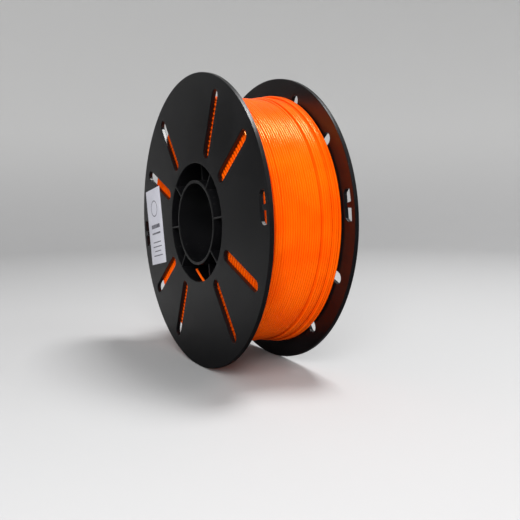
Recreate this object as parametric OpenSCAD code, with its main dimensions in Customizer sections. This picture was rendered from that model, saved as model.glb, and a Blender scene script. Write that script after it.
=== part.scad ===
// Two-part plastic spool, full of 3D printer filament, standing on its rims.
// The origin is the centre of the spindle bore and the spool's axis is Y:
// the front flange faces -Y, the rear one +Y, and +Z is up.

/* [Flanges] */
// Diameter of each flange
flange_d = 200; // [196:1:210]
// Width of the spool across the outer faces of its flanges
spool_w = 63; // [58:0.5:72]
// Thickness of a flange
flange_t = 3; // [2.4:0.1:3.6]
// Radius that rounds both edges of a flange's rim
rim_round = 0.7; // [0.3:0.1:1.1]

/* [Hub] */
// Diameter of the bore that takes a spindle
bore_d = 54; // [50:0.5:55]
// Wall of the tube round the bore
tube_wall = 2.2; // [1.8:0.1:2.6]
// Outer diameter of the drum that carries the filament
drum_d = 86; // [85:0.5:88]
// Wall of the drum
drum_wall = 2.3; // [2:0.1:2.6]
// Thickness of a rib between tube and drum
rib_t = 1.3; // [1:0.1:2]
// How far the two short ribs stop below the flange's face
rib_setback = 8; // [2:0.5:12]
// Edge break at the mouth of the bore and of the rib chambers
mouth_break = 0.4; // [0.2:0.1:0.8]

/* [Slots] */
// Inner end of a radial slot, from the axis
slot_in = 46.5; // [45:0.5:50]
// Outer end of a radial slot, from the axis
slot_out = 92; // [80:0.5:94]
// Width of a slot
slot_w = 7.6; // [5:0.2:9]

/* [Filament windows] */
// Straight inner edge of a window, from the axis
window_in = 89.8; // [88.5:0.1:90.5]
// Outer edge of a window, from the axis
window_out = 96.2; // [95.5:0.1:98]
// Length of a window along the rim
window_len = 20; // [18:0.5:25]
// Corner cut at the inner edge of a window
window_cut = 2.2; // [1:0.1:3]
// Slit between the clip tab and the inner edge of its window
tab_slit = 2.5; // [2.4:0.1:3]
// Width of a clip tab at its tip
tab_tip = 3; // [2:0.1:4]
// Width of a clip tab where it meets the rim
tab_root = 4.6; // [4:0.1:6]

/* [Mid joint] */
// How far the front half's lips reach into the rear half
lip_len = 3; // [2:0.5:5]
// Clearance round the lips and the snap hooks
fit_gap = 0.1; // [0.05:0.05:0.2]
// Width of a snap hook
hook_w = 8; // [6:0.5:10]
// Thickness of a snap hook's arm
hook_t = 1.7; // [1.4:0.1:2]
// How far a hook's barb catches behind its ledge
hook_catch = 1.1; // [0.8:0.1:1.3]

/* [Filament] */
// Diameter of the filament
filament_d = 1.75; // [1.7:0.05:1.85]
// Outer diameter of the winding where it is highest, beside the rear flange
winding_d = 176; // [120:1:177]
// Turns that lie side by side from flange to flange
turns = 32; // [28:1:32]
// Turns beside the rear flange that lie one layer higher than the rest
raised_turns = 9; // [6:1:14]
// Turns of those that lie another layer higher
crown_turns = 4; // [2:1:5]
// Length of the inner end inside the hub
inner_end_len = 13; // [8:0.5:14]

/* [Label] */
// Width of the paper label
label_w = 29.5; // [20:0.5:30]
// Length of the paper label
label_l = 59; // [40:0.5:60]
// Thickness of the paper label
label_t = 0.15; // [0.1:0.05:0.3]

/* [Pose] */
// Turn of the whole spool about its axis, seen from the front
rest_turn = 7.8; // [0:0.2:30]

/* [Hidden] */
$fn = 120;
eps = 0.01;
plastic = [0.09, 0.09, 0.095];
orange = [1, 0.36, 0.02];

flange_r = flange_d / 2;
bore_r = bore_d / 2;
tube_r = bore_r + tube_wall;
drum_r = drum_d / 2;
chamber_r = drum_r - drum_wall;
winding_r = winding_d / 2;
half_w = spool_w / 2;
inner_face = half_w - flange_t;

rib_count = 8;
rib_pitch = 360 / rib_count;
short_ribs = [2, 6];
spoke_pitch = 30;
window_angles = [0, 180];
slot_angles = [for (i = [0:11]) if (i % 3 != 0) i * spoke_pitch];
hook_angles = [for (i = [0:3]) (2 * i + 0.5) * rib_pitch];

// Layers that a turn, counted from the rear flange, lies below the highest
function layers_down(i) = (i < raised_turns ? 0 : 1) + (i < crown_turns ? 0 : 1);

// Snap hooks: radii and heights above the mid plane
hook_out = chamber_r - 1.8;
ledge_in = hook_out + fit_gap;
ledge_z = [4, 6.5];
hook_root = [-12, -5];
hook_tip = 10;

// The inner end of the filament passes the drum wall here, in the pattern's own angle
inner_end_angle = -96;
inner_end_slant = 56;
inner_end_y = 26;
inner_hole_d = filament_d + 0.9;

// The label's centre, in the pattern's own angle, and its lean from square
label_r = 74;
label_angle = 176.8;
label_lean = 6;

// Places what is drawn with +z outwards and the pattern at 0 degrees
module front() {
    rotate([90, 0, 0]) rotate([0, 0, rest_turn]) children();
}

module rear() {
    rotate([-90, 0, 0]) rotate([0, 0, -rest_turn]) children();
}

// Flange, drum and bore tube of one half, in section
module half_section() {
    translate([chamber_r, inner_face])
        square([flange_r - rim_round - chamber_r, flange_t]);
    translate([chamber_r, inner_face + rim_round])
        square([flange_r - chamber_r, flange_t - 2 * rim_round]);
    for (y = [inner_face + rim_round, half_w - rim_round])
        translate([flange_r - rim_round, y]) circle(rim_round, $fn = 24);
    translate([chamber_r, 0]) square([drum_wall, half_w]);
    translate([bore_r, 0]) square([tube_wall, half_w]);
}

module slot() {
    end_r = slot_w / 2;
    length = slot_out - slot_in - slot_w;
    translate([slot_in + end_r, -end_r]) square([length, slot_w]);
    for (x = [slot_in + end_r, slot_out - end_r])
        translate([x, 0]) circle(end_r, $fn = 36);
}

// Window for the free end, with the tab that the filament is clipped under
module window() {
    far = window_out + 5;
    half = window_len / 2;
    difference() {
        intersection() {
            polygon([
                [window_in, half - window_cut], [window_in, window_cut - half],
                [window_in + window_cut, -half], [far, -half],
                [far, half], [window_in + window_cut, half]
            ]);
            circle(window_out);
        }
        polygon([
            [window_in + tab_slit, -tab_tip / 2], [far, -tab_root / 2 - 0.5],
            [far, tab_root / 2 + 0.5], [window_in + tab_slit, tab_tip / 2]
        ]);
    }
}

module flange_openings() {
    translate([0, 0, inner_face - 1])
        linear_extrude(flange_t + 2) {
            for (a = slot_angles) rotate(a) slot();
            for (a = window_angles) rotate(a) window();
        }
}

// Radial ribs from the mid plane up to the face, two of them shorter
module ribs() {
    for (i = [0:rib_count - 1]) {
        short = len(search(i, short_ribs)) > 0;
        top = half_w - (short ? rib_setback : 0);
        rotate(i * rib_pitch)
            translate([tube_r - tube_wall / 3, -rib_t / 2, 0])
                cube([chamber_r - tube_r + tube_wall / 3 + 0.5, rib_t, top]);
    }
}

module mouth_breaks() {
    translate([0, 0, half_w - mouth_break]) {
        cylinder(r1 = bore_r, r2 = bore_r + mouth_break + eps, h = mouth_break + eps);
        difference() {
            cylinder(r1 = chamber_r, r2 = chamber_r + mouth_break + eps, h = mouth_break + eps);
            translate([0, 0, -1]) cylinder(r = chamber_r - 0.5, h = mouth_break + 2);
        }
    }
}

// Slanted hole in the drum wall that anchors the first turn
module along_inner_end() {
    rotate(inner_end_angle)
        translate([chamber_r, 0, inner_end_y])
            rotate([0, 0, inner_end_slant]) rotate([0, -90, 0]) children();
}

module half() {
    difference() {
        union() {
            rotate_extrude() half_section();
            ribs();
            children();
        }
        flange_openings();
        mouth_breaks();
        along_inner_end() translate([0, 0, -10]) cylinder(d = inner_hole_d, h = 14, $fn = 24);
    }
}

// A ring between two radii, from z0 to z1
module ring(r_in, r_out, z0, z1) {
    translate([0, 0, z0])
        difference() {
            cylinder(r = r_out, h = z1 - z0);
            translate([0, 0, -1]) cylinder(r = r_in, h = z1 - z0 + 2);
        }
}

// Places a section drawn in radius and height as a block of width w
module radial_block(w) {
    rotate([90, 0, 0]) translate([0, 0, -w / 2]) linear_extrude(w) children();
}

module snap_hook() {
    barb_z = ledge_z[1] + fit_gap;
    arm_in = hook_out - hook_t;
    radial_block(hook_w)
        polygon([
            [arm_in, hook_tip], [arm_in, hook_root[0] - 3],
            [chamber_r + drum_wall / 2, hook_root[0]], [chamber_r + drum_wall / 2, hook_root[1]],
            [hook_out, hook_root[1]], [hook_out, barb_z],
            [hook_out + hook_catch, barb_z], [hook_out + hook_catch, barb_z + 0.8]
        ]);
}

module hook_ledge() {
    radial_block(hook_w + 2)
        polygon([
            [ledge_in, ledge_z[0] + 1], [ledge_in, ledge_z[1]],
            [chamber_r + drum_wall / 2, ledge_z[1]], [chamber_r + drum_wall / 2, ledge_z[0]],
            [ledge_in + 1, ledge_z[0]]
        ]);
}

// Outward z of a half points away from the mid plane, so the hooks and lips,
// which cross it, are drawn upside down
module front_half() {
    drum_lip = chamber_r + drum_wall / 2;
    tube_lip = bore_r + tube_wall / 2;
    color(plastic)
        front()
            half() {
                ring(chamber_r, drum_lip, -lip_len, eps);
                ring(tube_lip, tube_r, -lip_len, eps);
                for (a = hook_angles) rotate(a) mirror([0, 0, 1]) snap_hook();
            }
}

module rear_half() {
    drum_lip = chamber_r + drum_wall / 2;
    tube_lip = bore_r + tube_wall / 2;
    seat = lip_len + fit_gap;
    color(plastic)
        rear()
            difference() {
                half()
                    for (a = hook_angles) rotate(-a) hook_ledge();
                ring(chamber_r - 1, drum_lip + fit_gap, -1, seat);
                ring(tube_lip - fit_gap, tube_r + 1, -1, seat);
            }
}

// Wound package: solid inside, with the turns that show outside side by side, climbing
// two layers towards the rear flange
module filament_winding() {
    width = 2 * inner_face - 2 * fit_gap;
    pitch = (width - filament_d) / (turns - 1);
    layer_pitch = filament_d * sin(60);
    turn_r = winding_r - filament_d / 2;
    color(orange)
        rotate([90, 0, 0])
            rotate_extrude() {
                for (step = [[turns, 2], [raised_turns, 1], [crown_turns, 0]])
                    translate([drum_r, -width / 2])
                        square([turn_r - step[1] * layer_pitch - drum_r,
                                min(width, step[0] * pitch)]);
                for (i = [0:turns - 1])
                    translate([turn_r - layers_down(i) * layer_pitch,
                               (i - (turns - 1) / 2) * pitch])
                        circle(d = filament_d, $fn = 16);
            }
}

// Pokes into the hub through the drum wall and is cut off square
module filament_inner_end() {
    color(orange)
        front()
            intersection() {
                along_inner_end() translate([0, 0, -8])
                    cylinder(d = filament_d, h = inner_end_len + 8, $fn = 24);
                cylinder(r = drum_r, h = half_w);
            }
}

// Leaves the top layer as a tangent and bends out through the slit of a rear window
module filament_outer_end() {
    turn_r = winding_r - filament_d / 2;
    height = inner_face - fit_gap - filament_d / 2;
    exit_r = window_in + tab_slit / 2;
    lead = acos(turn_r / exit_r);
    bend = half_w - fit_gap - height;
    run = sqrt(pow(exit_r, 2) - pow(turn_r, 2));
    buried = sqrt(pow(turn_r + filament_d, 2) - pow(turn_r, 2));
    color(orange)
        rear()
            rotate(window_angles[1])
                translate([exit_r, 0, height])
                    rotate(90 + lead) {
                        translate([bend, 0, 0]) rotate([0, 90, 0])
                            cylinder(d = filament_d, h = run - buried - bend, $fn = 24);
                        translate([bend, 0, bend]) rotate([90, 0, 0]) rotate(180)
                            rotate_extrude(angle = 90)
                                translate([bend, 0]) circle(d = filament_d, $fn = 24);
                    }
}

module paper_label() {
    color([0.93, 0.94, 0.97])
        front()
            rotate(label_angle)
                translate([label_r, 0, half_w])
                    rotate(label_lean)
                        linear_extrude(label_t) square([label_w, label_l], center = true);
}

front_half();
rear_half();
filament_winding();
filament_inner_end();
filament_outer_end();
paper_label();
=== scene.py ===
import math

import bmesh
import bpy
from mathutils import Matrix, Vector, noise


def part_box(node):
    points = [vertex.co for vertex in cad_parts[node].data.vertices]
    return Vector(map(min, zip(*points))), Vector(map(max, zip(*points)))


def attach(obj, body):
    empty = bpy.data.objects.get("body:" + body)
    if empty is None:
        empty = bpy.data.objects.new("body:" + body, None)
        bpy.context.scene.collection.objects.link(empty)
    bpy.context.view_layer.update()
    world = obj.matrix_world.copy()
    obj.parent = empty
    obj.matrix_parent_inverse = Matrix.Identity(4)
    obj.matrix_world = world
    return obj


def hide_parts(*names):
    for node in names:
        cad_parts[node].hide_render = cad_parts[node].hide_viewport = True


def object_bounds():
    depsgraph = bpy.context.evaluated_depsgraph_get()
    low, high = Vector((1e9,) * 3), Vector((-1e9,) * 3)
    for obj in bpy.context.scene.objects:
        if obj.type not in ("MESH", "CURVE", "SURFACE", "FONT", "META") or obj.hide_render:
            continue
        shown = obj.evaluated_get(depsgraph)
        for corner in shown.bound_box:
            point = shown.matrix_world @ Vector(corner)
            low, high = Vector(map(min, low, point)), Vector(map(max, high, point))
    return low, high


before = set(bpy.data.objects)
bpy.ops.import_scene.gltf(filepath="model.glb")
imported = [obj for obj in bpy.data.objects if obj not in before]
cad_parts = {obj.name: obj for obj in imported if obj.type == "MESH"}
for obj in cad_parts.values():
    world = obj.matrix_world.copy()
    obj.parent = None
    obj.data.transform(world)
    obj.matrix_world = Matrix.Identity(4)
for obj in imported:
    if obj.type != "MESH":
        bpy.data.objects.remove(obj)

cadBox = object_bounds()
frontLow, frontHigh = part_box("front_half")
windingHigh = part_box("filament_winding")[1]
mm = 0.001  # shapes are drawn in millimetres and scaled when they are placed
mergeReach = 0.0005  # in millimetres

spool = {
    "halfWidth": round(-frontLow.y / mm, 2),
    "rim": round(frontHigh.x / mm, 1),
    "turn": 7.8,  # of the whole spool about its axis, seen from the front
}


def facing(side):
    # places what is drawn flat, with +z pointing out of the front or the rear flange
    sign = 1 if side == "front" else -1
    return (Matrix.Scale(mm, 4)
            @ Matrix.Rotation(math.radians(90 * sign), 4, "X")
            @ Matrix.Rotation(math.radians(spool["turn"] * sign), 4, "Z"))


def turned(degrees, axis="Z"):
    return Matrix.Rotation(math.radians(degrees), 4, axis)


def moved(x, y, z):
    return Matrix.Translation((x, y, z))


def arc(radius, start, end, steps, centre=(0, 0)):
    angles = [math.radians(start + (end - start) * i / steps) for i in range(steps + 1)]
    return [(centre[0] + radius * math.cos(a), centre[1] + radius * math.sin(a)) for a in angles]


def circle(radius, steps):
    return arc(radius, 0, 360 - 360 / steps, steps - 1)


def rectangle(x0, y0, x1, y1):
    return [(x0, y0), (x1, y0), (x1, y1), (x0, y1)]


def turnOutline(points, degrees):
    return [(turned(degrees) @ Vector((x, y, 0))).to_2d().to_tuple() for x, y in points]


def addSpline(curve, points, closed):
    spline = curve.splines.new("POLY")
    spline.points.add(len(points) - 1)
    for point, place in zip(spline.points, points):
        point.co = (*place, 1) if len(place) == 3 else (*place, 0, 1)
    spline.use_cyclic_u = closed


def evaluatedMesh(holder):
    # the mesh that a curve or a modifier makes
    bpy.context.view_layer.update()
    return bpy.data.meshes.new_from_object(holder.evaluated_get(bpy.context.evaluated_depsgraph_get()))


def meshFromCurve(curve):
    holder = bpy.data.objects.new("outline", curve)
    bpy.context.collection.objects.link(holder)
    mesh = evaluatedMesh(holder)
    bm = bmesh.new()
    bm.from_mesh(mesh)
    bpy.data.objects.remove(holder)
    bpy.data.curves.remove(curve)
    bpy.data.meshes.remove(mesh)
    bmesh.ops.remove_doubles(bm, verts=bm.verts, dist=mergeReach)
    bmesh.ops.recalc_face_normals(bm, faces=bm.faces)
    return bm


def flatShape(outline, holes, low, high, edge):
    # a plate from height low to high with rounded edges
    curve = bpy.data.curves.new("outline", "CURVE")
    curve.dimensions = "2D"
    curve.fill_mode = "BOTH"
    curve.extrude = (high - low) / 2 - edge
    curve.bevel_depth = edge
    curve.bevel_resolution = 2
    curve.offset = -edge
    addSpline(curve, outline, True)
    for hole in holes:
        # the other way round, so that its edge rounds outwards
        addSpline(curve, list(reversed(hole)), True)
    bm = meshFromCurve(curve)
    bmesh.ops.translate(bm, vec=(0, 0, (high + low) / 2), verts=bm.verts)
    return bm


def roundBar(points, radius, sides):
    # a strand along a line of points, with closed ends
    curve = bpy.data.curves.new("line", "CURVE")
    curve.dimensions = "3D"
    curve.bevel_depth = radius
    curve.bevel_resolution = sides // 2 - 2
    curve.use_fill_caps = True
    curve.twist_mode = "Z_UP"
    addSpline(curve, points, False)
    return meshFromCurve(curve)


def spinRound(bm, edges, steps):
    bmesh.ops.spin(bm, geom=edges, axis=(0, 0, 1), cent=(0, 0, 0), angle=math.radians(360),
                   steps=steps, use_merge=True)


def meshFrom(bm):
    mesh = bpy.data.meshes.new("part")
    bm.to_mesh(mesh)
    bm.free()
    return mesh


def addTo(piece, part, place=Matrix.Identity(4)):
    bmesh.ops.transform(part, matrix=place, verts=part.verts)
    mesh = meshFrom(part)
    piece.from_mesh(mesh)
    bpy.data.meshes.remove(mesh)


def cutAway(bm, cutter):
    # what is left of bm once the cutter has gone through it
    bodies = [bpy.data.objects.new("cut", meshFrom(part)) for part in (bm, cutter)]
    for body in bodies:
        bpy.context.collection.objects.link(body)
    boolean = bodies[0].modifiers.new("cut", "BOOLEAN")
    boolean.operation = "DIFFERENCE"
    boolean.solver = "EXACT"
    boolean.object = bodies[1]
    mesh = evaluatedMesh(bodies[0])
    left = bmesh.new()
    left.from_mesh(mesh)
    for body in bodies:
        bpy.data.objects.remove(body)
    bpy.data.meshes.remove(mesh)
    return left


def makePiece(name, bm, finish, nodes, place, sharpAngle=35):
    bmesh.ops.transform(bm, matrix=place, verts=bm.verts)
    for face in bm.faces:
        face.smooth = True
    mesh = meshFrom(bm)
    mesh.set_sharp_from_angle(angle=math.radians(sharpAngle))
    mesh.materials.append(finish)
    piece = bpy.data.objects.new(name, mesh)
    bpy.context.collection.objects.link(piece)
    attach(piece, "root")
    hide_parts(*nodes)
    return piece


def evenShading(piece):
    # large flat faces keep their own shading beside the rounded edges
    modifier = piece.modifiers.new("evenShading", "WEIGHTED_NORMAL")
    modifier.keep_sharp = True


# What the node groups and the finishes are wired with

def feed(tree, socket, value):
    # a link or a constant
    if isinstance(value, bpy.types.NodeSocket):
        tree.links.new(value, socket)
    else:
        socket.default_value = value


def addNode(tree, kind, settings=None, **inputs):
    # inputs are called by name, or by number as i0, i1 and so on
    node = tree.nodes.new("ShaderNode" + kind)
    for key, value in (settings or {}).items():
        setattr(node, key, value)
    for key, value in inputs.items():
        numbered = key[0] == "i" and key[1:].isdigit()
        feed(tree, node.inputs[int(key[1:]) if numbered else key.replace("_", " ")], value)
    return node


def calculate(tree, operation, *values, clamp=False):
    node = addNode(tree, "Math", {"operation": operation, "use_clamp": clamp},
                   **{f"i{i}": value for i, value in enumerate(values)})
    return node.outputs[0]


def fromTo(tree, value, low, high, newLow=0.0, newHigh=1.0):
    node = addNode(tree, "MapRange", {"interpolation_type": "SMOOTHSTEP"},
                   i0=value, i1=low, i2=high, i3=newLow, i4=newHigh)
    return node.outputs[0]


def mixColours(tree, amount, first, second):
    return addNode(tree, "Mix", {"data_type": "RGBA"}, i0=amount, i6=first, i7=second).outputs[2]


def objectPlace(tree, scale=(1, 1, 1), turn=(0, 0, 0)):
    place = addNode(tree, "TexCoord").outputs["Object"]
    return addNode(tree, "Mapping", Vector=place, Scale=scale, Rotation=turn).outputs[0]


def surfaceNormal(tree):
    return addNode(tree, "NewGeometry").outputs["Normal"]


# Node groups that more than one finish uses

scratch = {
    "runs": ((0.35, 14.0), (1.25, 11.0), (2.3, 17.0)),  # direction and stretch
    "scale": 110.0, "level": 0.62, "width": 0.012, "patchScale": 28.0,
}
speck = {"scale": 420.0, "core": 0.05, "edge": 0.16, "rarity": 0.8, "onUndersides": 0.15}
rubbing = {"scale": 160.0, "flat": 0.99, "sharp": 0.9}


def newGroup(name, inputs, outputs):
    tree = bpy.data.node_groups.new(name, "ShaderNodeTree")
    for label, value in inputs.items():
        socket = tree.interface.new_socket(name=label, in_out="INPUT", socket_type="NodeSocketFloat")
        socket.default_value = value
    for label in outputs:
        tree.interface.new_socket(name=label, in_out="OUTPUT", socket_type="NodeSocketFloat")
    return tree, tree.nodes.new("NodeGroupInput").outputs, tree.nodes.new("NodeGroupOutput").inputs


def makeGrainGroup():
    # fine moulded or drawn grain, and slow changes of tone; sizes are in millimetres
    tree, given, result = newGroup("fineGrain", {"Grain Size": 0.3, "Patch Size": 30.0}, ["Height", "Tone"])
    place = objectPlace(tree)
    grain = addNode(tree, "TexNoise", Vector=place, Detail=3.0, Roughness=0.6,
                    Scale=calculate(tree, "DIVIDE", 1 / mm, given["Grain Size"]))
    patch = addNode(tree, "TexNoise", Vector=place, Detail=2.0, Roughness=0.5,
                    Scale=calculate(tree, "DIVIDE", 1 / mm, given["Patch Size"]))
    feed(tree, result["Height"], grain.outputs[0])
    feed(tree, result["Tone"], fromTo(tree, patch.outputs[0], 0.3, 0.7))
    return tree


def makeHandlingGroup():
    # hairline scratches and settled dust
    tree, given, result = newGroup("handling", {"Scratches": 0.5, "Dust": 0.5},
                                   ["Scratch Mask", "Dust Mask"])
    total = None
    for turn, stretch in scratch["runs"]:
        place = objectPlace(tree, (stretch, 1.0, 1.0), (0.0, turn, 0.0))
        line = addNode(tree, "TexNoise", Vector=place, Scale=scratch["scale"], Detail=1.0, Roughness=0.4)
        away = calculate(tree, "ABSOLUTE", calculate(tree, "SUBTRACT", line.outputs[0], scratch["level"]))
        line = calculate(tree, "SUBTRACT", 1.0, fromTo(tree, away, 0.0, scratch["width"]))
        total = line if total is None else calculate(tree, "MAXIMUM", total, line)
    patches = addNode(tree, "TexNoise", Vector=objectPlace(tree), Scale=scratch["patchScale"], Detail=2.0)
    scratches = calculate(tree, "MULTIPLY", total, fromTo(tree, patches.outputs[0], 0.5, 0.7))
    feed(tree, result["Scratch Mask"],
         calculate(tree, "MULTIPLY", scratches, given["Scratches"], clamp=True))

    cells = addNode(tree, "TexVoronoi", {"feature": "F1"}, Vector=objectPlace(tree),
                    Scale=speck["scale"], Randomness=1.0)
    near = fromTo(tree, cells.outputs["Distance"], speck["core"], speck["edge"], 1.0, 0.0)
    pick = addNode(tree, "SeparateColor", Color=cells.outputs["Color"]).outputs[0]
    few = fromTo(tree, pick, speck["rarity"], speck["rarity"] + 0.04)
    upward = addNode(tree, "SeparateXYZ", Vector=surfaceNormal(tree)).outputs["Z"]
    settle = fromTo(tree, upward, -0.2, 1.0, speck["onUndersides"], 1.0)
    dust = calculate(tree, "MULTIPLY", calculate(tree, "MULTIPLY", near, few), settle)
    feed(tree, result["Dust Mask"], calculate(tree, "MULTIPLY", dust, given["Dust"], clamp=True))
    return tree


def makeEdgeGroup():
    # where edges have been rubbed
    tree, given, result = newGroup("rubbedEdges", {"Reach": 0.0006}, ["Edge Mask"])
    rounded = addNode(tree, "Bevel", {"samples": 4}, Radius=given["Reach"]).outputs[0]
    along = addNode(tree, "VectorMath", {"operation": "DOT_PRODUCT"}, i0=rounded, i1=surfaceNormal(tree))
    broken = addNode(tree, "TexNoise", Vector=objectPlace(tree), Scale=rubbing["scale"], Detail=3.0)
    edge = fromTo(tree, along.outputs["Value"], rubbing["sharp"], rubbing["flat"], 1.0, 0.0)
    feed(tree, result["Edge Mask"],
         calculate(tree, "MULTIPLY", edge, fromTo(tree, broken.outputs[0], 0.35, 0.65)))
    return tree


groups = {"grain": makeGrainGroup(), "handling": makeHandlingGroup(), "edges": makeEdgeGroup()}


def useGroup(tree, name, **values):
    node = tree.nodes.new("ShaderNodeGroup")
    node.node_tree = groups[name]
    for key, value in values.items():
        node.inputs[key.replace("_", " ")].default_value = value
    return node.outputs


# The finishes

plastic = {
    "dark": (0.0035, 0.0035, 0.004, 1), "light": (0.0055, 0.0055, 0.0062, 1),
    "rubbed": (0.03, 0.028, 0.029, 1), "dust": (0.2, 0.19, 0.18, 1),
    "smoothest": 0.28, "roughest": 0.35, "scratchRoughness": 0.16, "dustRoughness": 0.3,
    "rubbedShare": 0.6, "scratchDepth": 0.6, "grainDepth": 0.00003,
}
orange = {
    "bright": (0.93, 0.114, 0.0005, 1), "deep": (0.9, 0.087, 0.0005, 1), "dust": (0.9, 0.5, 0.3, 1),
    "smoothest": 0.18, "roughest": 0.27, "grainDepth": 0.00002,
}
paper = {
    "bright": (0.67, 0.67, 0.73, 1), "deep": (0.6, 0.6, 0.67, 1),
    "smoothest": 0.5, "roughest": 0.6, "grainDepth": 0.00003,
}
ink = {
    "bright": (0.2, 0.2, 0.23, 1), "deep": (0.09, 0.09, 0.11, 1),
    "smoothest": 0.45, "roughest": 0.55,
}


def newFinish(name, **values):
    finish = bpy.data.materials.new(name)
    finish.use_nodes = True
    shader = finish.node_tree.nodes["Principled BSDF"]
    for key, value in values.items():
        shader.inputs[key.replace("_", " ")].default_value = value
    return finish, finish.node_tree, shader.inputs


def roughnessByTone(tree, tone, look):
    return fromTo(tree, tone, 0.0, 1.0, look["smoothest"], look["roughest"])


def bump(tree, height, depth, strength=0.5):
    return addNode(tree, "Bump", Height=height, Distance=depth, Strength=strength).outputs[0]


def makePlastic():
    finish, tree, shader = newFinish("satinBlackPlastic", IOR=1.5, Specular_IOR_Level=0.42)
    grain = useGroup(tree, "grain", Grain_Size=0.35, Patch_Size=38.0)
    handling = useGroup(tree, "handling", Scratches=0.55, Dust=0.45)
    edges = useGroup(tree, "edges", Reach=0.0004)
    colour = mixColours(tree, grain["Tone"], plastic["dark"], plastic["light"])
    rubbed = calculate(tree, "MULTIPLY", edges["Edge Mask"], plastic["rubbedShare"])
    colour = mixColours(tree, rubbed, colour, plastic["rubbed"])
    colour = mixColours(tree, handling["Dust Mask"], colour, plastic["dust"])
    rough = calculate(tree, "ADD", roughnessByTone(tree, grain["Tone"], plastic),
                      calculate(tree, "MULTIPLY", handling["Scratch Mask"], plastic["scratchRoughness"]))
    rough = calculate(tree, "ADD", rough,
                      calculate(tree, "MULTIPLY", handling["Dust Mask"], plastic["dustRoughness"]),
                      clamp=True)
    height = calculate(tree, "SUBTRACT", grain["Height"],
                       calculate(tree, "MULTIPLY", handling["Scratch Mask"], plastic["scratchDepth"]))
    feed(tree, shader["Base Color"], colour)
    feed(tree, shader["Roughness"], rough)
    feed(tree, shader["Normal"], bump(tree, height, plastic["grainDepth"], 0.7))
    return finish


def makeFilamentFinish():
    finish, tree, shader = newFinish("orangeFilament", IOR=1.46, Specular_IOR_Level=0.5,
                                     Specular_Tint=(1.0, 1.0, 0.12, 1))
    grain = useGroup(tree, "grain", Grain_Size=0.5, Patch_Size=22.0)
    handling = useGroup(tree, "handling", Scratches=0.2, Dust=0.15)
    colour = mixColours(tree, grain["Tone"], orange["deep"], orange["bright"])
    feed(tree, shader["Base Color"], mixColours(tree, handling["Dust Mask"], colour, orange["dust"]))
    feed(tree, shader["Roughness"], roughnessByTone(tree, grain["Tone"], orange))
    feed(tree, shader["Normal"], bump(tree, grain["Height"], orange["grainDepth"]))
    return finish


def makePaper():
    finish, tree, shader = newFinish("labelPaper", IOR=1.45)
    grain = useGroup(tree, "grain", Grain_Size=0.25, Patch_Size=14.0)
    feed(tree, shader["Base Color"], mixColours(tree, grain["Tone"], paper["deep"], paper["bright"]))
    feed(tree, shader["Roughness"], roughnessByTone(tree, grain["Tone"], paper))
    feed(tree, shader["Normal"], bump(tree, grain["Height"], paper["grainDepth"]))
    return finish


def makeInk():
    finish, tree, shader = newFinish("labelInk", IOR=1.45)
    grain = useGroup(tree, "grain", Grain_Size=0.2, Patch_Size=3.0)
    feed(tree, shader["Base Color"], mixColours(tree, grain["Tone"], ink["deep"], ink["bright"]))
    feed(tree, shader["Roughness"], roughnessByTone(tree, grain["Tone"], ink))
    return finish


finishes = {
    "plastic": makePlastic(), "filament": makeFilamentFinish(),
    "paper": makePaper(), "ink": makeInk(),
}
print("finishes made")


# Both halves: a flange with its slots and windows, and half of the ribbed hub

flange = {"thickness": 3, "edge": 0.45, "seamEdge": 0.2}
hub = {
    "bore": 27, "tube": 29.2, "chamber": 40.7, "drum": 43,  # radii
    "rib": 1.3, "ribs": 8, "shortRibs": (2, 6), "setback": 8,
    "ribIntoTube": 0.7, "ribIntoDrum": 0.5,
}
slot = {"inner": 46.5, "outer": 92, "width": 7.6, "pitch": 30}
window = {
    "angles": (0, 180), "inner": 89.8, "outer": 96.2, "length": 20, "cut": 2.2,
    "slit": 2.5, "tip": 3, "root": 4.6,  # of the tab that reaches in from the rim
    "flare": 0.74,  # share of the tab's widening that lies inside the window
}
hooks = {
    "count": 4, "outside": 38.9, "thickness": 1.7, "width": 8, "catch": 1.1, "barb": 0.8, "tip": 10,
    "root": (12, 5), "rootSlope": 3, "edge": 0.15,
    "ledge": (4, 6.5), "ledgeSlope": 1, "ledgeExtra": 2, "gap": 0.1,
}
innerEnd = {
    "angle": -96, "slant": 56, "height": 26, "length": 13, "embedded": 4, "bow": 0.35, "bowTurn": 2.2,
    "hole": 2.65, "holeDepth": 14, "holeShift": -3,
}


def slotOutline():
    r = slot["width"] / 2
    return arc(r, -90, 90, 16, (slot["outer"] - r, 0)) + arc(r, 90, 270, 16, (slot["inner"] + r, 0))


def windowOutline():
    # a window whose tab reaches in from the rim
    half, tabIn = window["length"] / 2, window["inner"] + window["slit"]
    tabWidth = window["tip"] + window["flare"] * (window["root"] - window["tip"])
    side = math.degrees(math.asin(tabWidth / 2 / window["outer"]))
    end = math.degrees(math.asin(half / window["outer"]))
    upper = ([(tabIn, window["tip"] / 2)] + arc(window["outer"], side, end, 10)
             + [(window["inner"] + window["cut"], half), (window["inner"], half - window["cut"])])
    lower = [(x, -y) for x, y in reversed(upper)]
    return upper + lower


def chamberOutline(first, last):
    # the space between two ribs, from the tube to the drum
    pitch = 360 / hub["ribs"]
    outline = []
    for radius, start, end in ((hub["chamber"], first, last), (hub["tube"], last, first)):
        inset = math.degrees(math.asin(hub["rib"] / 2 / radius)) * (1 if end > start else -1)
        outline += arc(radius, start * pitch + inset, end * pitch - inset, 20 * abs(end - start))
    return outline


def alongInnerEnd():
    return (turned(innerEnd["angle"]) @ moved(hub["chamber"], 0, innerEnd["height"])
            @ turned(innerEnd["slant"]) @ turned(-90, "Y"))


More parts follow.
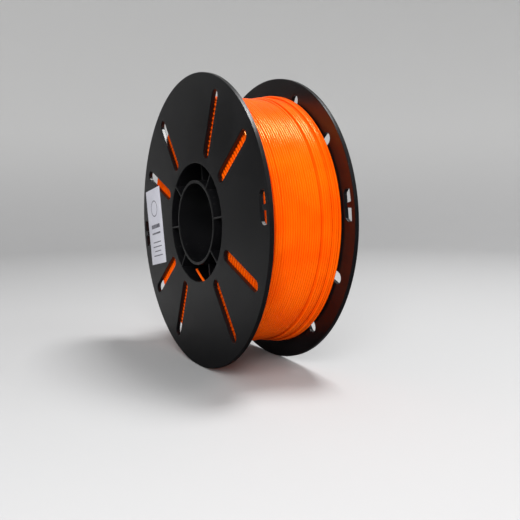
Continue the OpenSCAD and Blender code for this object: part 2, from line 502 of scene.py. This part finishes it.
def innerEndHole():
    bm = bmesh.new()
    radius = innerEnd["hole"] / 2
    bmesh.ops.create_cone(bm, cap_ends=True, segments=24, radius1=radius, radius2=radius,
                          depth=innerEnd["holeDepth"])
    bmesh.ops.transform(bm, matrix=alongInnerEnd() @ moved(0, 0, innerEnd["holeShift"]), verts=bm.verts)
    return bm


def snapHook():
    seat = hooks["ledge"][1] + hooks["gap"]
    wall, out = (hub["chamber"] + hub["drum"]) / 2, hooks["outside"]
    inside, caught = out - hooks["thickness"], out + hooks["catch"]
    far, near = hooks["root"]
    return [(inside, -hooks["tip"]), (caught, -seat - hooks["barb"]), (caught, -seat), (out, -seat),
            (out, near), (wall, near), (wall, far), (inside, far + hooks["rootSlope"])]


def hookLedge():
    wall, inside = (hub["chamber"] + hub["drum"]) / 2, hooks["outside"] + hooks["gap"]
    low, high = hooks["ledge"]
    slope = hooks["ledgeSlope"]
    return [(inside + slope, low), (wall, low), (wall, high), (inside, high), (inside, low + slope)]


def shortRib():
    side = hub["rib"] / 2
    outline = rectangle(hub["tube"] - hub["ribIntoTube"], -side, hub["chamber"] + hub["ribIntoDrum"], side)
    return flatShape(outline, [], 0, spool["halfWidth"] - hub["setback"], flange["seamEdge"])


def halfShape(side):
    top = spool["halfWidth"]
    bottom = top - flange["thickness"]
    longRibs = [i for i in range(hub["ribs"] + 1) if i not in hub["shortRibs"]]
    chambers = [chamberOutline(a, b) for a, b in zip(longRibs, longRibs[1:])]
    slots = [turnOutline(slotOutline(), a) for a in range(0, 360, slot["pitch"]) if a % 90]
    windows = [turnOutline(windowOutline(), a) for a in window["angles"]]
    bore = circle(hub["bore"], 144)
    openings = slots + windows + chambers + [bore]
    half = flatShape(circle(spool["rim"], 300), openings, bottom, top, flange["edge"])
    seam = flange["seamEdge"]
    wallTop = bottom + flange["edge"] + seam
    wall = flatShape(circle(hub["drum"], 180), chambers + [bore], 0, wallTop, seam)
    addTo(half, cutAway(wall, innerEndHole()))
    for i in hub["shortRibs"]:
        addTo(half, shortRib(), turned(i * 360 / hub["ribs"]))
    if side == "front":
        profile, width = snapHook(), hooks["width"]
    else:
        profile, width = hookLedge(), hooks["width"] + hooks["ledgeExtra"]
    for i in range(hooks["count"]):
        angle = (2 * i + 0.5) * 360 / hub["ribs"]
        block = flatShape(profile, [], -width / 2, width / 2, hooks["edge"])
        addTo(half, block, turned(angle if side == "front" else -angle) @ turned(90, "X"))
    return half


for side in ("front", "rear"):
    half = makePiece(side + "Half", halfShape(side), finishes["plastic"],
                     [side + "_half"], facing(side))
    evenShading(half)
print("spool halves made")


# The filament: one strand wound in layers, of which the top one and the sides show

strand = {
    "diameter": 1.75, "turns": 31, "sides": 10, "steps": 200,
    "air": 0.005,  # between a strand of the top layer and its full size
    "layerStep": 1.53,
    "climbs": (23.7, 28.1), "climb": 1.38,  # after how many turns it climbs one layer, and how far
    "endAngle": 158.3,  # where the top layer lets go and runs off to the window
    "endShort": 0.1,  # how far its end stays inside the rear flange's face
    # how fast it eases into a climb, a wide gap and a sunk turn
    "climbEase": 4, "gapEase": 1.5, "sunkEase": 1.6, "sunkWidth": 1.4,
    "sharpAngle": 60,
}
strand["radius"] = strand["diameter"] / 2
strand["topRadius"] = round(windingHigh.z / mm, 1) - strand["radius"]
# how far the outermost turn is from the mid plane
strand["reach"] = round(windingHigh.y / mm, 2) - strand["radius"]
strand["pitch"] = 2 * strand["reach"] / strand["turns"]
wander = {
    "sideways": 0.1, "inOut": 0.07,
    "lowerSideways": 0.22, "lowerInOut": 0.12,
    # how fast it changes round a turn and from row to row, where it starts, and its share
    "shared": (2.2, 0.11, 0, 0.7),
    "own": (3.5, 3.7, 40, 0.6),
}
# rows of their own, so that no layer repeats another
rows = {"lowerInOut": 50, "inOut": 100, "frontSide": 300, "rearSide": 400, "secondLayer": 500}
# how much wider a gap between turns is, and how deep a turn has sunk, by its number from the front
wideGaps = {5.2: 0.46, 8.4: 0.22, 14.6: 0.1, 19.2: 0.05, 23.9: 0.6, 28.1: 0.42, 30.0: 0.12}
sunkTurns = {4.7: 0.42, 7.8: 0.16, 11.6: 0.08, 14.1: 0.14, 18.6: 0.1, 23.4: 0.4, 27.6: 0.55, 29.5: 0.18}
lower = {"sides": 8, "secondSides": 6, "steps": 120, "stagger": 0.72, "aboveDrum": 0.9}
package = {"clear": 0.05, "short": 0.4, "under": 1.2, "stepAfter": 0.3, "steps": 160}


def wobble(angle, row, strength):
    # slow changes along a turn, shared in part by its neighbours
    a = math.radians(angle)
    total = 0
    for speed, rowSpeed, start, share in (wander["shared"], wander["own"]):
        place = Vector((speed * math.cos(a), speed * math.sin(a), rowSpeed * row + start))
        total += share * noise.noise(place)
    return strength * total


def smooth(t):
    t = min(max(t, 0), 1)
    return t * t * (3 - 2 * t)


def heapRadius(turn):
    # the strand climbs a layer twice on its way to the rear flange
    toClimb = sum(1 - smooth((turn - place) * strand["climbEase"] + 0.5) for place in strand["climbs"])
    return strand["topRadius"] - strand["climb"] * toClimb


def windTopLayer():
    # wound counter-clockwise seen from the front, from the front flange to the rear one
    spare = sum(wideGaps.values())
    line = []
    for step in range(strand["turns"] * strand["steps"] + 1):
        turn = step / strand["steps"]
        angle = strand["endAngle"] + 360 * turn
        opened = sum(width * smooth((turn - place) * strand["gapEase"] + 0.5)
                     for place, width in wideGaps.items())
        sunk = sum(depth * smooth(strand["sunkWidth"] - strand["sunkEase"] * abs(turn - place))
                   for place, depth in sunkTurns.items())
        ends = smooth(turn) * smooth(strand["turns"] - turn)
        loose = max(0, wobble(angle, turn + rows["inOut"], wander["inOut"]))
        radius = heapRadius(turn) - ends * (sunk + loose)
        height = strand["reach"] - strand["pitch"] * turn - opened + spare * turn / strand["turns"]
        height += ends * wobble(angle, turn, wander["sideways"])
        a = math.radians(angle)
        line.append((radius * math.cos(a), radius * math.sin(a), height))
    return roundBar(line, strand["radius"] - strand["air"], strand["sides"])


def addTurn(bm, radius, height, sides, row):
    # one closed turn of a lower layer
    part = bmesh.new()
    bmesh.ops.create_circle(part, segments=sides, radius=strand["radius"])
    bmesh.ops.transform(part, matrix=moved(radius, 0, height) @ turned(90, "X"), verts=part.verts)
    spinRound(part, part.edges[:], lower["steps"])
    bmesh.ops.recalc_face_normals(part, faces=part.faces)
    for vert in part.verts:
        angle = math.degrees(math.atan2(vert.co.y, vert.co.x))
        vert.co.z -= abs(wobble(angle, row, wander["lowerSideways"])) * (1 if height > 0 else -1)
        inOut = wobble(angle, row + rows["lowerInOut"], wander["lowerInOut"])
        vert.co.xy *= 1 + inOut / vert.co.xy.length
    addTo(bm, part)


def windSides():
    # the ends of the layers, seen through the slots: every other layer stops half a turn short
    bm = bmesh.new()
    frontTop, rearTop = heapRadius(0), heapRadius(strand["turns"])
    for end, top, firstRow in ((1, frontTop, rows["frontSide"]), (-1, rearTop, rows["rearSide"])):
        layers = int((top - hub["drum"] - lower["aboveDrum"]) / strand["layerStep"])
        for layer in range(layers):
            radius = top - strand["layerStep"] * (layer + 1)
            height = strand["reach"] - (lower["stagger"] if layer % 2 == 0 else 0)
            addTurn(bm, radius, end * height, lower["sides"], layer + firstRow)
    return bm


def packageShape():
    # what lies under the turns, with the same two steps
    bm = bmesh.new()
    under = package["under"]
    low, deep = hub["drum"] + package["clear"], strand["reach"] - package["short"]
    line = [(low, deep), (heapRadius(0) - under, deep)]
    for place in strand["climbs"]:
        height = strand["reach"] - strand["pitch"] * (place + package["stepAfter"])
        line += [(heapRadius(place - 1) - under, height), (heapRadius(place + 1) - under, height)]
    line += [(strand["topRadius"] - under, -deep), (low, -deep)]
    corners = [bm.verts.new((x, 0, z)) for x, z in line]
    edges = [bm.edges.new((corners[i - 1], corners[i])) for i in range(len(corners))]
    spinRound(bm, edges, package["steps"])
    bmesh.ops.recalc_face_normals(bm, faces=bm.faces)
    return bm


def windSecondLayer():
    bm = bmesh.new()
    for i in range(1, strand["turns"] - 1):
        radius = heapRadius(i + 0.5) - strand["layerStep"]
        height = strand["reach"] - strand["pitch"] * (i + 0.5)
        addTurn(bm, radius, height, lower["secondSides"], i + rows["secondLayer"])
    addTo(bm, packageShape())
    return bm


def runOff():
    # from the top layer, tangent, to the window in the rear flange, and out through its slit
    leave = window["inner"] + window["slit"] / 2
    bend = spool["halfWidth"] - strand["endShort"] - strand["reach"]
    lead = math.degrees(math.acos(strand["topRadius"] / leave))
    run = math.sqrt(leave ** 2 - strand["topRadius"] ** 2)
    line = [Vector((run, 0, 0)), Vector((run * 0.5, 0, 0))]
    for i in range(10):
        a = math.radians(9 * i)
        line.append(Vector((bend - bend * math.sin(a), 0, bend - bend * math.cos(a))))
    place = turned(window["angles"][1]) @ moved(leave, 0, strand["reach"]) @ turned(90 + lead)
    return roundBar([tuple(place @ point) for point in line], strand["radius"], 16)


def innerStub():
    # from inside the winding, through the hole in the drum, into the hub
    line = []
    for t in [i / 8 for i in range(9)]:
        along = -innerEnd["embedded"] + (innerEnd["length"] + innerEnd["embedded"]) * t
        line.append(Vector((innerEnd["bow"] * math.sin(t * innerEnd["bowTurn"]), 0.0, along)))
    return roundBar([tuple(alongInnerEnd() @ point) for point in line], strand["radius"], 16)


strandPieces = {
    "topLayer": (windTopLayer, "filament_winding", "front"),
    "sideTurns": (windSides, "filament_winding", "front"),
    "lowerLayers": (windSecondLayer, "filament_winding", "front"),
    "outerEnd": (runOff, "filament_outer_end", "rear"),
    "innerEnd": (innerStub, "filament_inner_end", "front"),
}
for name, (makeShape, node, side) in strandPieces.items():
    makePiece(name, makeShape(), finishes["filament"], [node], facing(side),
              strand["sharpAngle"])
print("filament wound")


# The paper label, with a plain ring and ruled bars on it

label = {
    "radius": 74, "angle": 176.8, "lean": 6,
    "width": 29.5, "length": 59, "thickness": 0.13, "edge": 0.03,
    "inkDepth": 0.01, "inkHeight": 0.02, "inkEdge": 0.005,
    "ringHeight": 14, "ringOuter": 6.4, "ringInner": 5.7,
}
# height on the label, thickness and length
bars = [(0, 3, 17), (-5.5, 1.3, 17), (-12.5, 0.8, 16), (-16, 0.8, 18), (-19.5, 0.8, 13), (-23, 0.9, 18)]


def labelPlace():
    return (facing("front") @ turned(label["angle"])
            @ moved(label["radius"], 0, spool["halfWidth"]) @ turned(label["lean"]))


def labelSheet():
    x, y = label["width"] / 2, label["length"] / 2
    return flatShape(rectangle(-x, -y, x, y), [], 0, label["thickness"], label["edge"])


def labelPrint():
    low, high = label["thickness"] - label["inkDepth"], label["thickness"] + label["inkHeight"]
    bm = bmesh.new()
    for y, height, width in bars:
        outline = rectangle(-width / 2, y - height / 2, width / 2, y + height / 2)
        addTo(bm, flatShape(outline, [], low, high, label["inkEdge"]))
    ring = flatShape(circle(label["ringOuter"], 48), [circle(label["ringInner"], 48)], low, high,
                     label["inkEdge"])
    addTo(bm, ring, moved(0, label["ringHeight"], 0))
    return bm


makePiece("labelSheet", labelSheet(), finishes["paper"], ["paper_label"], labelPlace())
makePiece("labelPrint", labelPrint(), finishes["ink"], ["paper_label"],
          labelPlace() @ turned(180))
print("label made")


# Pale studio: a floor that curves up into a wall all round

studio = {
    "floor": (0.45, 0.45, 0.453, 1), "wall": (0.58, 0.58, 0.578, 1),
    # colours that glossy rays see: a painted dark reflection, with painted pale patches
    "paintedDarkReflection": (0.01, 0.01, 0.011, 1), "paintedPaleReflection": (0.5, 0.5, 0.5, 1),
    "radius": 1.5, "curve": 0.6, "height": 1.8, "steps": 96,
    "underRims": 0.0002, "mergeReach": 0.00001,
    "floorToWall": (0.01, 0.3),
    # where the painted reflection shows the pale room: from and to along the axle, across it and upwards
    "leftStarts": (-0.7, -0.25), "leftEnds": (-0.15, 0.22), "leftRise": 0.045,
    "floorRise": (0.001, 0.02), "floorShare": 0.6,
    "acrossEnds": (-0.45, 0.15), "topStarts": (0.12, 0.65),
    "light": 0.45,  # plain, from all round
}


def makeStudioFinish():
    finish, tree, shader = newFinish("studioPaperWithPaintedReflection", Roughness=0.9)
    place = addNode(tree, "TexCoord").outputs["Object"]
    across, along, height = addNode(tree, "SeparateXYZ", Vector=place).outputs
    ground = cadBox[0].z
    rise = fromTo(tree, height, *[ground + z for z in studio["floorToWall"]])
    pale = mixColours(tree, rise, studio["floor"], studio["wall"])
    # painted reflection: glossy rays see the room dark, but for its upper part, and its floor and wall at
    # the left, which are painted pale; camera and diffuse rays see the plain paper
    left = calculate(tree, "MULTIPLY", fromTo(tree, along, *studio["leftStarts"]),
                     fromTo(tree, along, *studio["leftEnds"], 1.0, 0.0))
    left = calculate(tree, "MULTIPLY", left, fromTo(tree, height, ground, ground + studio["leftRise"]))
    low = fromTo(tree, height, *[ground + z for z in studio["floorRise"]], studio["floorShare"], 0.0)
    shown = calculate(tree, "MULTIPLY", calculate(tree, "MAXIMUM", left, low),
                      fromTo(tree, across, *studio["acrossEnds"], 1.0, 0.0))
    shown = calculate(tree, "MAXIMUM", shown, fromTo(tree, height, *studio["topStarts"]))
    # the painted reflection, the colour that glossy rays see
    mirrored = mixColours(tree, shown, studio["paintedDarkReflection"], studio["paintedPaleReflection"])
    rays = addNode(tree, "LightPath").outputs
    direct = calculate(tree, "MAXIMUM", rays["Is Camera Ray"], rays["Is Diffuse Ray"])
    feed(tree, shader["Base Color"], mixColours(tree, direct, mirrored, pale))
    return finish


def makeStudio():
    bm = bmesh.new()
    ground = cadBox[0].z - studio["underRims"]
    bend, flat = studio["curve"], studio["radius"] - studio["curve"]
    line = [(0, ground)]
    for i in range(13):
        a = math.radians(7.5 * i)
        line.append((flat + bend * math.sin(a), ground + bend - bend * math.cos(a)))
    line.append((studio["radius"], studio["height"]))
    verts = [bm.verts.new((x, 0, z)) for x, z in line]
    edges = [bm.edges.new(pair) for pair in zip(verts, verts[1:])]
    spinRound(bm, edges, studio["steps"])
    bmesh.ops.remove_doubles(bm, verts=bm.verts, dist=studio["mergeReach"])
    bmesh.ops.recalc_face_normals(bm, faces=bm.faces)
    bmesh.ops.reverse_faces(bm, faces=bm.faces)
    for face in bm.faces:
        face.smooth = True
    mesh = meshFrom(bm)
    mesh.materials.append(makeStudioFinish())
    room = bpy.data.objects.new("studio", mesh)
    bpy.context.collection.objects.link(room)


makeStudio()

lamps = {
    "overhead": {"place": (0.13, 0.34, 1.15), "size": 0.38, "power": 15.0, "mirrored": True},
    "cameraSide": {"place": (0.76, -0.48, 0.4), "size": 0.5, "power": 9.2, "mirrored": False},
    "behind": {"place": (0.55, 0.6, 0.6), "size": 0.4, "power": 1.6, "mirrored": False},
}
for name, lamp in lamps.items():
    light = bpy.data.lights.new(name, "AREA")
    light.size = lamp["size"]
    light.energy = lamp["power"]
    holder = bpy.data.objects.new(name, light)
    holder.location = lamp["place"]
    holder.rotation_euler = (-Vector(lamp["place"])).to_track_quat("-Z", "Y").to_euler()
    holder.visible_glossy = lamp["mirrored"]
    bpy.context.collection.objects.link(holder)

world = bpy.data.worlds.new("studioAir")
world.use_nodes = True
world.node_tree.nodes["Background"].inputs["Color"].default_value = (1, 1, 1, 1)
world.node_tree.nodes["Background"].inputs["Strength"].default_value = studio["light"]
bpy.context.scene.world = world

# The camera stands to the right of the front flange, a little above the axle
view = {
    "azimuth": 59.85, "elevation": 6.42, "roll": -0.52, "distance": 464.3,
    "right": 17.5, "down": 27.61,  # its shift from the axle
    "lens": 45.17, "sensor": 36,
}


def placeCamera():
    azimuth, elevation = math.radians(view["azimuth"]), math.radians(view["elevation"])
    level = math.cos(elevation)
    back = Vector((math.sin(azimuth) * level, -math.cos(azimuth) * level, math.sin(elevation)))
    right = Vector((math.cos(azimuth), math.sin(azimuth), 0))
    right = Matrix.Rotation(math.radians(view["roll"]), 3, back) @ right
    up = back.cross(right)
    place = Matrix((right, up, back)).transposed().to_4x4()
    place.translation = (view["right"] * right - view["down"] * up + view["distance"] * back) * mm
    camera = bpy.data.objects.new("camera", bpy.data.cameras.new("camera"))
    camera.data.lens = view["lens"]
    camera.data.sensor_width = view["sensor"]
    camera.matrix_world = place
    bpy.context.collection.objects.link(camera)
    bpy.context.scene.camera = camera


placeCamera()
bpy.context.scene.view_settings.view_transform = "Standard"
print("studio, lamps and camera set")
